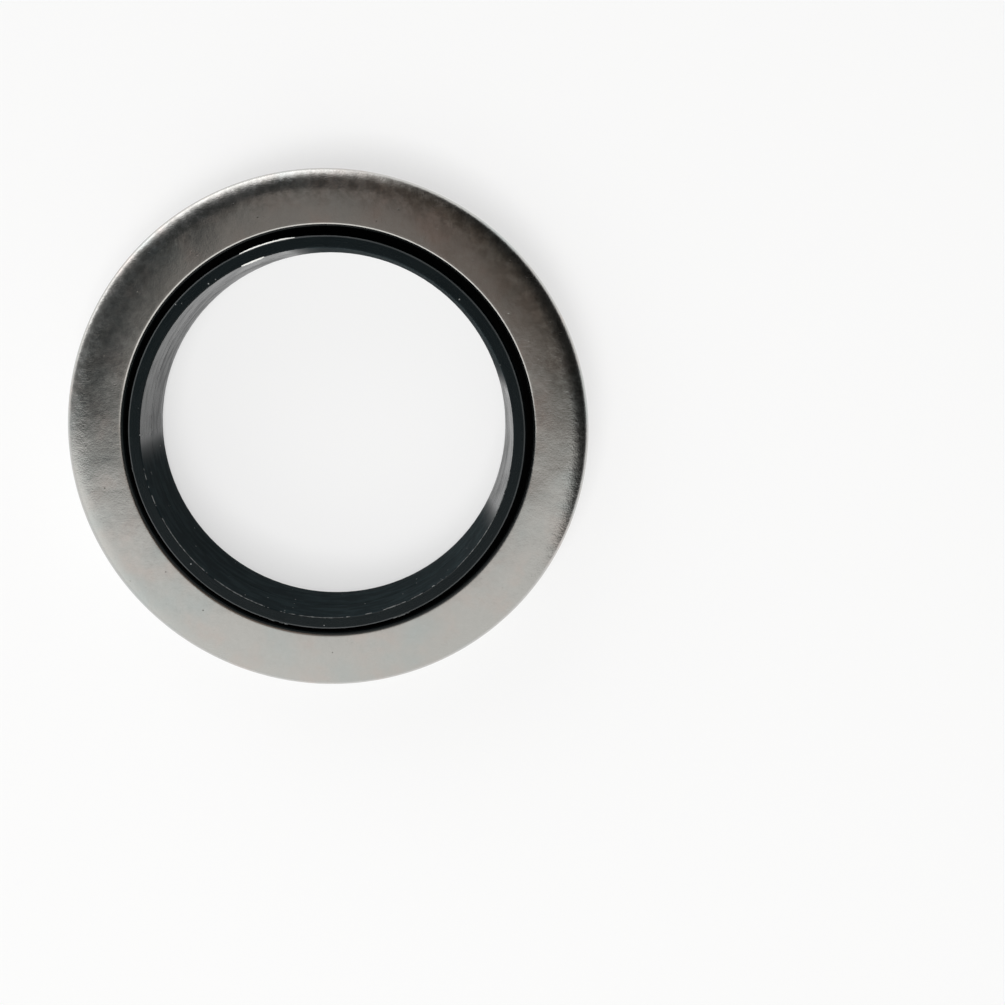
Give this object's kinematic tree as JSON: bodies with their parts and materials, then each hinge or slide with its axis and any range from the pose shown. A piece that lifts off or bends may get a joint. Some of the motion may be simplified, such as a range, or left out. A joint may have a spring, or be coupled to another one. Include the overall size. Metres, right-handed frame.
{
  "type": "oil seal",
  "caption": "Rotary shaft oil seal: stainless case with rolled rear edge, polymer front and rear lips clamped back to back, front lip standing proud of the flange hole.",
  "frame": {"origin": "centre of the rolled rear face, on the surface that the seal lies on", "axes": "+Z along the shaft axis, from the rolled rear face towards the front flange; X and Y are any two directions across"},
  "size_m": [0.072, 0.072, 0.0142],
  "materials": {
    "stainless": "satin drawn sheet",
    "inner_stainless": "satin drawn sheet",
    "lip_polymer": "turned, slightly waxy",
    "gasket_rubber": "matt"
  },
  "bodies": {
    "root": {"outer_case": "stainless", "gasket": "gasket_rubber", "front_lip": "lip_polymer", "rear_lip": "lip_polymer", "inner_case": "inner_stainless"}
  },
  "joints": []
}
